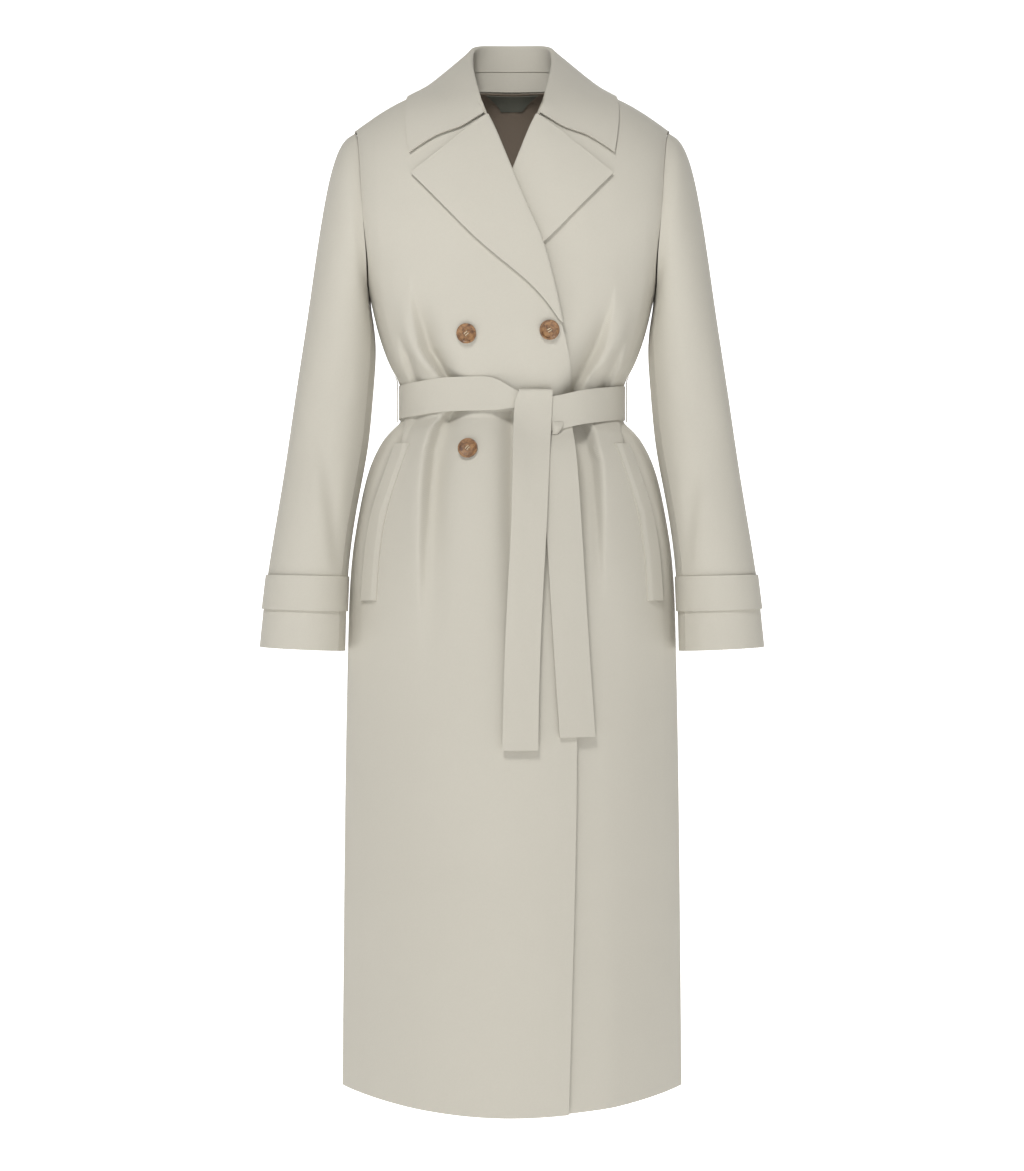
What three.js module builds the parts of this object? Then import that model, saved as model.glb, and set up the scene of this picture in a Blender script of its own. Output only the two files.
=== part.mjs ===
// A long double-breasted trench coat with a tied cloth belt, filled out as it is worn and hollow inside.
// Millimetres. +X is the wearer's left, +Y the wearer's back, +Z up. The origin is at the middle of the
// neck, level with the side of the neck seam. Every cloth piece is a thin closed wall.
import * as THREE from "three";

// Driving sizes
const CLOTH = 1.6;
const LINING = 1.0;
const SEAM = 0.3;
const FRONT = -1;
const BACK = 1;
const CHEST = -165;
const UNDERARM = -262;
const HEM = -1216;
const HEM_DIP = 6;
const HEM_DIP_FROM = -900;
const NECK = { side: 68, sideLevel: 4, rise: 0.25, backLevel: 8, rows: 6 };
const SHOULDER = { slope: 0.448, end: 191, swell: 11, middle: 6, frontRound: 1, backRound: 0.55 };
const UNDER_FRONT_DEPTH = 6.5;
const UNDER_FRONT_FADE = { from: 6, to: 60 };
const LAPEL = { lift: 3, foldSteps: 4, columns: 8 };
const BELT = { middle: -380.5, half: 20.2, lift: 0.6, thick: 1.7, pinchFade: 16, frontSteps: 18 };
const BELT_SLOPE = {
  drop: 24,
  from: 137,
  peak: 48,
  full: 26,
  end: 0,
  sideDrop: 4.5,
  sideFrom: 70,
  sideFull: 135,
};
const COLLAR = { standShare: 0.43, gap: 0.8, seam: 0.9, clear: 3, foldSteps: 4, spread: 6, puff: 5 };
const CUFF_STRAP = { rows: [12.04, 12.96], gap: 0.5, thick: 1.8 };
const WELT = { width: 18, thick: 1.8, gap: 0.4, columns: 2 };
const BUTTON = { radius: 12, thick: 3, bevel: 0.5, hole: 1.7, holeSpread: 2.6, sides: 22, holeSides: 6 };

// Level sections of the coat. half is half the width, front and back are the depths from the side
// seams, and lens is 1 for an ellipse, less for a squarer section and more for a pointed one.
const SECTIONS = [
  { level: 0, half: 200, front: 112, back: 100, lens: 0.5 },
  { level: -165, half: 190, front: 112, back: 100, lens: 0.5 },
  { level: -220, half: 180.5, front: 111, back: 99, lens: 0.6 },
  { level: -262, half: 172, front: 109.5, back: 98, lens: 0.7 },
  { level: -300, half: 163, front: 106, back: 96, lens: 0.75 },
  { level: -332, half: 152, front: 101, back: 94, lens: 0.8 },
  { level: -346, half: 145.5, front: 98, back: 91, lens: 0.85 },
  { level: -361, half: 136, front: 94.5, back: 88.5, lens: 0.9 },
  { level: -408, half: 136, front: 94.5, back: 88.5, lens: 0.9 },
  { level: -416, half: 146, front: 99, back: 94, lens: 0.95 },
  { level: -430, half: 157.5, front: 105, back: 103, lens: 1.05 },
  { level: -460, half: 172.5, front: 113, back: 112, lens: 1.15 },
  { level: -487, half: 180.5, front: 117, back: 118, lens: 1.22 },
  { level: -520, half: 187, front: 120.5, back: 122, lens: 1.28 },
  { level: -562, half: 194.5, front: 124.5, back: 126, lens: 1.33 },
  { level: -600, half: 198.2, front: 127, back: 129, lens: 1.38 },
  { level: -700, half: 200.5, front: 132, back: 134, lens: 1.5 },
  { level: -820, half: 203, front: 137.5, back: 139, lens: 1.65 },
  { level: -1000, half: 205, front: 144, back: 145, lens: 1.78 },
  { level: -1216, half: 207, front: 150, back: 150, lens: 1.85 },
];

// Armhole seam as a turn round the body in degrees from the middle of the front or the back.
const ARMHOLE = [
  { level: 0, front: 74.8, back: 74.8 },
  { level: -40, front: 72.4, back: 71 },
  { level: -80, front: 70.6, back: 68.5 },
  { level: -120, front: 69.5, back: 67.5 },
  { level: -165, front: 69.5, back: 68 },
  { level: -200, front: 70.5, back: 70 },
  { level: -225, front: 73.5, back: 73.5 },
  { level: -245, front: 79.5, back: 79.5 },
  { level: -257, front: 85.5, back: 85.5 },
  { level: -262, front: 90, back: 90 },
];

// Inner boundary of the upper front: neck seam, then lapel roll, then straight front edge. across is
// the distance past the middle of the coat, so it is negative on the front's own side.
const FRONT_EDGE = [
  { level: 0, across: -68 },
  { level: -25, across: -66 },
  { level: -48, across: -61 },
  { level: -73, across: -49 },
  { level: -92, across: -30 },
  { level: -117, across: -15.5 },
  { level: -140, across: -1 },
  { level: -165, across: 17 },
  { level: -205, across: 35 },
  { level: -232, across: 42.5 },
  { level: -259, across: 49.5 },
  { level: -287, across: 55.5 },
  { level: -321, across: 64 },
  { level: -351, across: 70 },
  { level: -380, across: 74 },
  { level: -420, across: 76 },
  { level: -830, across: 76 },
  { level: -1040, across: 71 },
  { level: -1216, across: 66 },
];

// Lines that the front's columns of points follow, as distances from the middle: the deep side of
// the waist fold, its crest, and the pocket's opening edge.
const FRONT_GUIDES = [
  { level: 0, trough: 110, crest: 125, pocket: 165 },
  { level: -165, trough: 112, crest: 126, pocket: 158 },
  { level: -262, trough: 112, crest: 128, pocket: 155 },
  { level: -300, trough: 107, crest: 122, pocket: 146 },
  { level: -325, trough: 100, crest: 113, pocket: 139 },
  { level: -345, trough: 90, crest: 103, pocket: 130 },
  { level: -358, trough: 82, crest: 95, pocket: 121 },
  { level: -380, trough: 76, crest: 88, pocket: 119 },
  { level: -403, trough: 73, crest: 86, pocket: 120 },
  { level: -413, trough: 74, crest: 88, pocket: 126 },
  { level: -427, trough: 77, crest: 92, pocket: 133 },
  { level: -452, trough: 85, crest: 99.5, pocket: 144 },
  { level: -483, trough: 89, crest: 103, pocket: 155 },
  { level: -518, trough: 91, crest: 104.5, pocket: 168 },
  { level: -577, trough: 92, crest: 105, pocket: 177.5 },
  { level: -624, trough: 92, crest: 106, pocket: 180.5 },
  { level: -700, trough: 95, crest: 110, pocket: 181 },
  { level: -900, trough: 100, crest: 118, pocket: 183 },
  { level: -1216, trough: 105, crest: 125, pocket: 185 },
];
const FRONT_SPANS = { middle: 7, fold: 2, panel: 3, pocketStep: 1, side: 3 };
const POCKET = { top: -438, bottom: -625, depth: 7, reach: 9, step: 3, fade: 14 };

// Large folds. height is out from the cloth, negative for a trough, and each fades in and out at its
// ends. Across is signed: negative on the wearer's right.
const FOLDS = [
  {
    side: FRONT, height: -7, width: 8, fade: 60,
    levels: [-255, -300, -325, -358],
    across: [-113, -107, -100, -82],
  },
  {
    side: FRONT, height: 5, width: 8, fade: 50,
    levels: [-262, -300, -325, -358],
    across: [-128, -122, -113, -95],
  },
  {
    side: FRONT, height: -4, width: 5, fade: 20,
    levels: [-318, -345, -362],
    across: [-134, -127, -121],
  },
  {
    side: FRONT, height: -6, width: 8, fade: 50,
    levels: [-265, -300, -325, -358],
    across: [119, 113, 103, 84],
  },
  {
    side: FRONT, height: 4.5, width: 8, fade: 50,
    levels: [-270, -300, -325, -358],
    across: [132, 127, 117, 97],
  },
  {
    side: FRONT, height: -7, width: 8, fade: 110,
    levels: [-403, -427, -483, -530, -690],
    across: [-73, -77, -89, -91, -93],
  },
  {
    side: FRONT, height: 5.5, width: 9, fade: 110,
    levels: [-403, -452, -483, -690],
    across: [-86, -99.5, -103, -107],
  },
  {
    side: FRONT, height: -3.5, width: 13, fade: 150,
    levels: [-403, -560, -740],
    across: [-8, -9, -10],
  },
  {
    side: FRONT, height: -6, width: 8, fade: 90,
    levels: [-403, -446, -483, -630],
    across: [73, 84, 88, 93],
  },
  {
    side: FRONT, height: 5, width: 8, fade: 100,
    levels: [-403, -446, -523, -650],
    across: [87, 98, 102, 108],
  },
  {
    side: BACK, height: -6, width: 11, fade: 70,
    levels: [-240, -300, -358],
    across: [-74, -66, -50],
  },
  {
    side: BACK, height: 4.5, width: 12, fade: 60,
    levels: [-250, -310, -358],
    across: [-104, -94, -76],
  },
  {
    side: BACK, height: -5, width: 11, fade: 70,
    levels: [-250, -305, -358],
    across: [82, 70, 54],
  },
  {
    side: BACK, height: 4, width: 12, fade: 60,
    levels: [-262, -315, -358],
    across: [108, 98, 80],
  },
  {
    side: BACK, height: -6, width: 12, fade: 110,
    levels: [-403, -450, -560, -690],
    across: [-48, -58, -64, -67],
  },
  {
    side: BACK, height: 5, width: 12, fade: 100,
    levels: [-403, -450, -560, -660],
    across: [-78, -88, -96, -98],
  },
  {
    side: BACK, height: -6, width: 12, fade: 100,
    levels: [-403, -450, -560, -660],
    across: [52, 60, 68, 70],
  },
  {
    side: BACK, height: 4.5, width: 12, fade: 100,
    levels: [-403, -450, -560, -690],
    across: [80, 90, 97, 101],
  },
  {
    side: BACK, height: -3, width: 14, fade: 120,
    levels: [-403, -540, -700],
    across: [4, 2, 0],
  },
];

const FRONT_LEVELS = [
  0, -25, -48, -73, -92, -104, -117, -140, -165, -190, -215, -232, -246, -256, -262, -285, -298, -312, -325,
  -338, -348, -361, -371, -380, -392, -403, -408, -412, -424, -438, -455, -475, -500, -530, -570, -625,
  -700, -800, -920, -1060, -1216,
];
const BACK_LEVELS = [
  0, -12, -28, -48, -72, -100, -130, -165, -200, -225, -242, -254, -262, -285, -315, -337, -348, -361, -380,
  -403, -408, -412, -426, -448, -480, -520, -570, -640, -730, -840, -960, -1080, -1216,
];
const BACK_COLUMNS = 20;

// Outer edge of a lapel on its own side of the coat, from the inner end of the gorge to the break.
// level is where the same row of points leaves the roll line.
const LAPEL_ROWS = [
  { level: -92, x: 60, z: -74 },
  { level: -104, x: 90, z: -99 },
  { level: -117, x: 118.5, z: -121.5 },
  { level: -140, x: 95, z: -146 },
  { level: -165, x: 70, z: -171.7 },
  { level: -190, x: 42, z: -200.6 },
  { level: -215, x: 14, z: -224 },
  { level: -240, x: -9.3, z: -242.5 },
  { level: -262, x: -28, z: -259.5 },
  { level: -285, x: -44, z: -279 },
  { level: -298, x: -54, z: -294 },
];

// Half of the collar from the gorge to the middle of the back. x is where the neck seam lies, fold is
// the top of the fold, and edge the outer edge. At the gorge the fold starts at the seam itself.
const COLLAR_ROWS = [
  { side: FRONT, level: -92, x: 30, radius: 1.9, edge: [119.9, -85, -96.7] },
  { side: FRONT, level: -73, x: 49, radius: 2.1, fold: [36, -74, -30], edge: [121, -66, -78] },
  { side: FRONT, level: -48, x: 61, radius: 2.4, fold: [41, -50, -8], edge: [121.8, -42, -56] },
  { side: FRONT, level: -25, x: 66, radius: 2.8, fold: [45, -22, 11], edge: [123, -18, -25] },
  { side: FRONT, level: -1, x: 67.8, radius: 3.2, fold: [47.5, 8, 35], edge: [124, 8, -8] },
  { side: BACK, x: 60, radius: 3.2, fold: [47, 34, 56], edge: [116, 36, -4] },
  { side: BACK, x: 46, radius: 3.2, fold: [38.5, 53, 64.5], edge: [96, 61, -7] },
  { side: BACK, x: 26, radius: 3.2, fold: [22, 66, 68], edge: [58, 83, -12] },
  { side: BACK, x: 0, radius: 3.2, fold: [0, 70, 69], edge: [0, 92, -15] },
];
const NOTCH = { step: 2, sag: 8 };

// Sleeve sections from the armhole to the hem: outermost point, innermost point, half depth and the
// section's own place front to back.
const SLEEVE_ROWS = [
  { outX: 203.5, outZ: -60, inX: 172.6, inZ: -268, depth: 71, y: 2 },
  { outX: 214.5, outZ: -80, inX: 171.2, inZ: -276, depth: 71, y: 2 },
  { outX: 223.5, outZ: -112, inX: 169.2, inZ: -286, depth: 68, y: 1 },
  { outX: 231.5, outZ: -155, inX: 167.2, inZ: -299, depth: 64, y: 0 },
  { outX: 239.3, outZ: -205, inX: 165.6, inZ: -316, depth: 60, y: -1 },
  { outX: 246.6, outZ: -260, inX: 165.8, inZ: -338, depth: 57, y: -3 },
  { outX: 254.7, outZ: -315, inX: 168, inZ: -367, depth: 54, y: -5 },
  { outX: 263, outZ: -370, inX: 170.6, inZ: -403, depth: 52, y: -8 },
  { outX: 270.5, outZ: -425, inX: 174.5, inZ: -443, depth: 50.5, y: -11 },
  { outX: 278.4, outZ: -480, inX: 183.2, inZ: -488, depth: 49.5, y: -14 },
  { outX: 287.4, outZ: -535, inX: 192.4, inZ: -538, depth: 48.8, y: -17 },
  { outX: 296.6, outZ: -592, inX: 198.6, inZ: -594, depth: 48.2, y: -19 },
  { outX: 302, outZ: -637, inX: 200.4, inZ: -640, depth: 47.8, y: -20 },
  { outX: 306.4, outZ: -681, inX: 201.4, inZ: -686, depth: 47.5, y: -20 },
];
const SLEEVE_GAP = 1.2;
const SLEEVE_SEAM = { front: 150, back: 290, gap: 0.25 };
const SLEEVE_SPANS = { back: 4, front: 8, under: 9 };
const SLEEVE_FOLD = { trough: 72, crest: 44, width: 13, height: 2.6, top: 6, bottom: 11.5, middle: 9 };

// Hanging belt ends: left and right edges and how far the back of the cloth stands off the coat.
const BELT_END_FRONT = [
  { z: -386, left: 4, right: 47.5, off: 8 },
  { z: -400, left: 2.5, right: 46.6, off: 8.5 },
  { z: -425, left: 1.2, right: 45.5, off: 9.5 },
  { z: -465, left: 0.6, right: 43.5, off: 10.5 },
  { z: -510, left: 0, right: 41.5, off: 10 },
  { z: -555, left: -1.6, right: 39.5, off: 9 },
  { z: -610, left: -5, right: 36, off: 8 },
  { z: -680, left: -8.2, right: 32.7, off: 7 },
  { z: -740, left: -10, right: 31, off: 6.5 },
  { z: -798, left: -11.4, right: 30.2, off: 6.5 },
];
const BELT_END_BEHIND = [
  { z: -408, left: 29.5, right: 69, off: 0.8 },
  { z: -424, left: 30.5, right: 71.5, off: 0.9 },
  { z: -433, left: 31.5, right: 73, off: 6.2 },
  { z: -446, left: 33, right: 74.6, off: 6.6 },
  { z: -460, left: 34.5, right: 76, off: 6.3 },
  { z: -484, left: 36.3, right: 78, off: 5 },
  { z: -524, left: 38.6, right: 80.4, off: 3.4 },
  { z: -570, left: 41.8, right: 83.4, off: 2.6 },
  { z: -625, left: 45, right: 86.6, off: 2.2 },
  { z: -690, left: 49, right: 90.6, off: 2.2 },
  { z: -740, left: 52.4, right: 94.2, off: 2.2 },
  { z: -784, left: 55.5, right: 97.3, off: 2.2 },
];
const BELT_TURN = { back: 2.4, front: 8.8, top: -375.5, tail: -399, left: 7, right: 25, steps: 6 };
const BELT_TAILS = {
  leftEnd: 21,
  narrowFrom: -30,
  leftHalf: 7,
  leftMiddle: -390,
  riseLeft: -40,
  flatLeft: 4,
  rightEnd: 27,
  riseRight: 118,
  flatRight: 74,
  lift: 5.2,
};
const KNOT = {
  left: 47.6,
  right: 61,
  taper: 8,
  top: -414,
  bottom: -429,
  off: 7.1,
  thick: 3.4,
  rows: 5,
  columns: 5,
};
const LOOP = { width: 3.5, top: -351, bottom: -408, thick: 1.1, off: 1, rows: 10 };
const LABEL = { top: 33, bottom: 14.5, from: 6, to: -11.5, gap: 0.7, thick: 0.8, rows: 3, columns: 6 };
const LINING_PANEL = { rows: 8, sides: 4, gap: 0.4 };
const BUTTON_PLACES = [
  { name: "button_top_right", x: -53.4, z: -310.5, lift: 0.3 },
  { name: "button_top_left", x: 43.8, z: -307, lift: 0.3 },
  { name: "button_low_right", x: -51.6, z: -446, lift: 0.5 },
  { name: "button_low_left", x: 38.5, z: -446, lift: 0.6 },
];

// Reading tables

// Smooth value of one column between its rows, without overshoot.
function column(rows, by, key, at) {
  const rising = rows[rows.length - 1][by] > rows[0][by];
  const order = rising ? 1 : -1;
  const last = rows.length - 1;
  if ((at - rows[0][by]) * order <= 0) return rows[0][key];
  if ((at - rows[last][by]) * order >= 0) return rows[last][key];
  let i = 0;
  while ((at - rows[i + 1][by]) * order > 0) i += 1;
  const slope = (k) => (rows[k + 1][key] - rows[k][key]) / (rows[k + 1][by] - rows[k][by]);
  const tangent = (k) => {
    if (k === 0) return slope(0);
    if (k === last) return slope(last - 1);
    const before = slope(k - 1);
    const after = slope(k);
    return before * after <= 0 ? 0 : (2 * before * after) / (before + after);
  };
  const span = rows[i + 1][by] - rows[i][by];
  const t = (at - rows[i][by]) / span;
  const t2 = t * t;
  const t3 = t2 * t;
  return (
    (2 * t3 - 3 * t2 + 1) * rows[i][key] +
    (t3 - 2 * t2 + t) * span * tangent(i) +
    (3 * t2 - 2 * t3) * rows[i + 1][key] +
    (t3 - t2) * span * tangent(i + 1)
  );
}

function smooth(from, to, value) {
  const t = THREE.MathUtils.clamp((value - from) / (to - from), 0, 1);
  return t * t * (3 - 2 * t);
}

const mix = THREE.MathUtils.lerp;
const degrees = THREE.MathUtils.radToDeg;
const radians = THREE.MathUtils.degToRad;

// The coat's surface

// Height of the shoulder line at a distance from the middle.
function shoulderLine(x) {
  const past = Math.abs(x) - NECK.side;
  const along = THREE.MathUtils.clamp(past / (SHOULDER.end - NECK.side), 0, 1);
  const swell = SHOULDER.swell * Math.sin(Math.PI * along);
  return NECK.sideLevel - past * (past > 0 ? SHOULDER.slope : NECK.rise) + swell;
}

// The belt lies a little lower at the sides, and on the wearer's left front it slopes down straight
// to the knot. The waist dips with it.
function sideDrop(x) {
  return BELT_SLOPE.sideDrop * smooth(BELT_SLOPE.sideFrom, BELT_SLOPE.sideFull, Math.abs(x));
}

function knotDrop(x) {
  const { drop, from, peak } = BELT_SLOPE;
  return drop * THREE.MathUtils.clamp((from - x) / (from - peak), 0, 1);
}

function waistDip(side, x) {
  if (side === BACK) return sideDrop(x);
  return sideDrop(x) + knotDrop(x) * smooth(BELT_SLOPE.end, BELT_SLOPE.full, x);
}

// How much of a fold is left near the belt, which presses the cloth flat.
function pinch(side, x, level) {
  const away = Math.abs(level + waistDip(side, x) - BELT.middle) - BELT.half - 2;
  return smooth(0, BELT.pinchFade, away);
}

function foldHeight(side, x, level) {
  let height = 0;
  for (const fold of FOLDS) {
    const top = fold.levels[0];
    const bottom = fold.levels[fold.levels.length - 1];
    if (fold.side !== side || level > top || level < bottom) continue;
    const rows = fold.levels.map((at, i) => ({ level: at, across: fold.across[i] }));
    const away = (x - column(rows, "level", "across", level)) / fold.width;
    const nearBelt = bottom > BELT.middle;
    const ends = nearBelt ? smooth(0, fold.fade, top - level) : smooth(0, fold.fade, level - bottom);
    height += fold.height * Math.exp(-away * away) * ends;
  }
  return height * pinch(side, x, level);
}

// The side cloth sinks behind the pocket welt's free edge.
function pocketSink(side, x, level) {
  if (side === BACK) return 0;
  const away = Math.abs(x) - column(FRONT_GUIDES, "level", "pocket", level);
  if (away <= 0) return 0;
  const low = smooth(POCKET.bottom, POCKET.bottom + POCKET.fade, level);
  const ends = low * smooth(POCKET.top, POCKET.top - POCKET.fade, level);
  return POCKET.depth * ends * Math.min(1, away / POCKET.step) * Math.exp(-((away / POCKET.reach) ** 2));
}

// Plain form of the coat. turn is in degrees from the middle of that side, and a turn past the side
// seam or a level past the shoulder line goes on to the other side.
function plainPoint(side, turn, level) {
  if (turn > 90) return plainPoint(-side, 180 - turn, level);
  if (turn < -90) return plainPoint(-side, -180 - turn, level);
  if (level > 0) return plainPoint(-side, turn, -level);
  const sine = Math.sin(radians(turn));
  const upper = THREE.MathUtils.clamp(1 - level / CHEST, 0, 1);
  const rise = Math.sin((upper * Math.PI) / 2);
  const fall = Math.cos((upper * Math.PI) / 2);
  const x = column(SECTIONS, "level", "half", level) * sine;
  const read = level + waistDip(side, x);
  const depth = column(SECTIONS, "level", side === FRONT ? "front" : "back", read);
  const lens = column(SECTIONS, "level", "lens", read);
  const round = side === FRONT ? SHOULDER.frontRound : SHOULDER.backRound;
  const out = depth * Math.max(0, Math.cos(radians(turn))) ** lens * fall ** round;
  const dip = side === FRONT ? HEM_DIP * smooth(HEM_DIP_FROM, HEM, level) * (1 - sine * sine) : 0;
  const z = level >= CHEST ? CHEST + (shoulderLine(x) - CHEST) * rise : level - dip;
  return new THREE.Vector3(x, SHOULDER.middle * rise + side * out, z);
}

function normalOf(point, side, turn, level) {
  const around = point(side, turn + 0.6, level).sub(point(side, turn - 0.6, level));
  const down = point(side, turn, level - 1.5).sub(point(side, turn, level + 1.5));
  const normal = around.cross(down).normalize();
  return side === FRONT ? normal.negate() : normal;
}

function plainNormal(side, turn, level) {
  const normal = normalOf(plainPoint, side, turn, level);
  const out = plainPoint(side, turn, level).sub(new THREE.Vector3(0, 0, Math.min(level, CHEST)));
  return normal.dot(out) < 0 ? normal.negate() : normal;
}

function coatPoint(side, turn, level) {
  if (turn > 90) return coatPoint(-side, 180 - turn, level);
  if (turn < -90) return coatPoint(-side, -180 - turn, level);
  if (level > 0) return coatPoint(-side, turn, -level);
  const point = plainPoint(side, turn, level);
  const relief = foldHeight(side, point.x, level) - pocketSink(side, point.x, level);
  return relief === 0 ? point : point.addScaledVector(plainNormal(side, turn, level), relief);
}

// A place on the coat: the point on its outer face and the direction out of the cloth there.
function coatSpot(side, turn, level, lift = 0) {
  const out = plainNormal(side, turn, level);
  const normal = normalOf(coatPoint, side, turn, level);
  if (normal.dot(out) < 0) normal.negate();
  return { point: coatPoint(side, turn, level).addScaledVector(normal, lift), normal };
}

// Turn whose point lies at x, at a level.
function turnAt(x, level) {
  return degrees(Math.asin(THREE.MathUtils.clamp(x / column(SECTIONS, "level", "half", level), -1, 1)));
}

// Turn and level of the point of the front or back that lies at x and z.
function addressOf(x, z) {
  const line = shoulderLine(x);
  const rise = THREE.MathUtils.clamp((z - CHEST) / (line - CHEST), 0, 1);
  const level = z >= CHEST ? CHEST * (1 - (2 / Math.PI) * Math.asin(rise)) : z;
  return { turn: turnAt(x, level), level };
}

function spotAt(side, x, z, lift = 0) {
  const { turn, level } = addressOf(x, z);
  return coatSpot(side, turn, level, lift);
}

// How deep the under front lies behind the upper one at a place.
function underDepth(x, level) {
  const past = x - column(FRONT_EDGE, "level", "across", level);
  return UNDER_FRONT_DEPTH * (1 - smooth(UNDER_FRONT_FADE.from, UNDER_FRONT_FADE.to, past));
}

// Turns from one to another at a level, spaced evenly along the cloth.
function evenTurns(side, level, from, to, count) {
  const steps = 60;
  const lengths = [0];
  let before = plainPoint(side, from, level);
  for (let i = 1; i <= steps; i += 1) {
    const next = plainPoint(side, mix(from, to, i / steps), level);
    lengths.push(lengths[i - 1] + next.distanceTo(before));
    before = next;
  }
  const turns = [];
  let seek = 0;
  for (let i = 0; i <= count; i += 1) {
    const wanted = (lengths[steps] * i) / count;
    while (seek < steps - 1 && lengths[seek + 1] < wanted) seek += 1;
    const part = (wanted - lengths[seek]) / (lengths[seek + 1] - lengths[seek]);
    turns.push(mix(from, to, (seek + part) / steps));
  }
  return turns;
}

// Walls

// A closed wall on a grid of spots, from one lift to another along each spot's normal. round joins
// the last column to the first.
function wall(grid, from, to, round = false) {
  const rows = grid.length;
  const columns = grid[0].length;
  const positions = [];
  for (const lift of [to, from]) {
    for (const row of grid) {
      for (const { point, normal } of row) {
        positions.push(...point.clone().addScaledVector(normal, lift).toArray());
      }
    }
  }
  const face = [];
  const under = rows * columns;
  const at = (row, col) => row * columns + (col % columns);
  const quad = (a, b, c, d) => face.push(a, b, c, a, c, d);
  const across = round ? columns : columns - 1;
  for (let r = 0; r < rows - 1; r += 1) {
    for (let c = 0; c < across; c += 1) {
      const [a, b, d, e] = [at(r, c), at(r, c + 1), at(r + 1, c + 1), at(r + 1, c)];
      face.push(a, b, d, a, d, e);
      face.push(under + a, under + d, under + b, under + a, under + e, under + d);
    }
  }
  for (let c = 0; c < across; c += 1) {
    quad(at(0, c + 1), at(0, c), under + at(0, c), under + at(0, c + 1));
    quad(at(rows - 1, c), at(rows - 1, c + 1), under + at(rows - 1, c + 1), under + at(rows - 1, c));
  }
  for (let r = 0; r < rows - 1 && !round; r += 1) {
    quad(at(r, 0), at(r + 1, 0), under + at(r + 1, 0), under + at(r, 0));
    const [upper, lower] = [at(r, columns - 1), at(r + 1, columns - 1)];
    quad(lower, upper, under + upper, under + lower);
  }
  return closedGeometry(positions, face);
}

function closedGeometry(positions, face) {
  let volume = 0;
  const corner = (i) => new THREE.Vector3().fromArray(positions, i * 3);
  for (let i = 0; i < face.length; i += 3) {
    volume += corner(face[i]).dot(corner(face[i + 1]).cross(corner(face[i + 2])));
  }
  if (volume < 0) face.reverse();
  const geometry = new THREE.BufferGeometry();
  geometry.setAttribute("position", new THREE.Float32BufferAttribute(positions, 3));
  geometry.setIndex(face);
  geometry.computeVertexNormals();
  return geometry;
}

// Spots on a grid of bare points, with each normal worked out from its neighbours and turned to the
// same side as away.
function spotsOf(points, away, round = false) {
  const rows = points.length;
  const columns = points[0].length;
  return points.map((row, r) =>
    row.map((point, c) => {
      const left = round ? points[r][(c + columns - 1) % columns] : points[r][Math.max(0, c - 1)];
      const right = round ? points[r][(c + 1) % columns] : points[r][Math.min(columns - 1, c + 1)];
      const above = points[Math.max(0, r - 1)][c];
      const below = points[Math.min(rows - 1, r + 1)][c];
      const normal = right.clone().sub(left).cross(below.clone().sub(above)).normalize();
      if (normal.dot(away(point, r, c)) < 0) normal.negate();
      return { point, normal };
    }),
  );
}

const mirrored = (point) => new THREE.Vector3(-point.x, point.y, point.z);
const mirroredSpot = (spot) => ({ point: mirrored(spot.point), normal: mirrored(spot.normal) });

// Fronts and back

// A place on the wearer's right front (hand -1), which lies on top, or on the left front (hand 1).
// turn counts up towards the front's own side seam.
function frontSpot(hand, turn, level) {
  const spot = coatSpot(FRONT, hand * turn, level);
  if (hand > 0) spot.point.addScaledVector(spot.normal, -underDepth(spot.point.x, level));
  return spot;
}

// Turns of the front's columns at a level, from the inner boundary to the side seam or armhole.
function frontTurns(level) {
  const guide = (key) => turnAt(column(FRONT_GUIDES, "level", key, level), level);
  const stops = [
    turnAt(-column(FRONT_EDGE, "level", "across", level), level),
    guide("trough"),
    guide("crest"),
    guide("pocket"),
    turnAt(column(FRONT_GUIDES, "level", "pocket", level) + POCKET.step, level),
    level >= UNDERARM ? column(ARMHOLE, "level", "front", level) : 90,
  ];
  const spans = Object.values(FRONT_SPANS);
  const turns = [stops[0]];
  spans.forEach((count, i) => turns.push(...evenTurns(FRONT, level, stops[i], stops[i + 1], count).slice(1)));
  return turns;
}

// The edges at the shoulder and the side seam are drawn back by half the gap between pieces.
function openSeams(row, side, level) {
  if (level < UNDERARM) row[row.length - 1].point.y += (side * SEAM) / 2;
  if (level < UNDERARM && side === BACK) row[0].point.y += SEAM / 2;
  if (level === 0) row.forEach((spot) => (spot.point.y += (side * SEAM) / 2));
  return row;
}

function frontPanel(hand) {
  const grid = FRONT_LEVELS.map((level) => {
    const row = frontTurns(level).map((turn) => frontSpot(hand, turn, level));
    return openSeams(row, FRONT, level);
  });
  return wall(grid, -CLOTH, 0);
}

// Level of the neck seam's back part at a turn, so that the back ends along it.
function backTop(turn) {
  const x = 198 * Math.sin(radians(turn));
  if (Math.abs(x) >= NECK.side) return 0;
  const z = mix(NECK.backLevel, NECK.sideLevel, (x / NECK.side) ** 2) - SEAM;
  return Math.min(0, addressOf(x, z).level);
}

function backGrid() {
  return BACK_LEVELS.map((level, r) => {
    const outer = level >= UNDERARM ? column(ARMHOLE, "level", "back", level) : 90;
    const row = evenTurns(BACK, level, -outer, outer, BACK_COLUMNS).map((turn) => {
      const drop = r < NECK.rows ? backTop(turn) * (1 - r / NECK.rows) : 0;
      return coatSpot(BACK, turn, level + drop);
    });
    return openSeams(row, BACK, level);
  });
}

function backPanel() {
  return wall(backGrid(), -CLOTH, 0);
}

// Lapels

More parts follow.
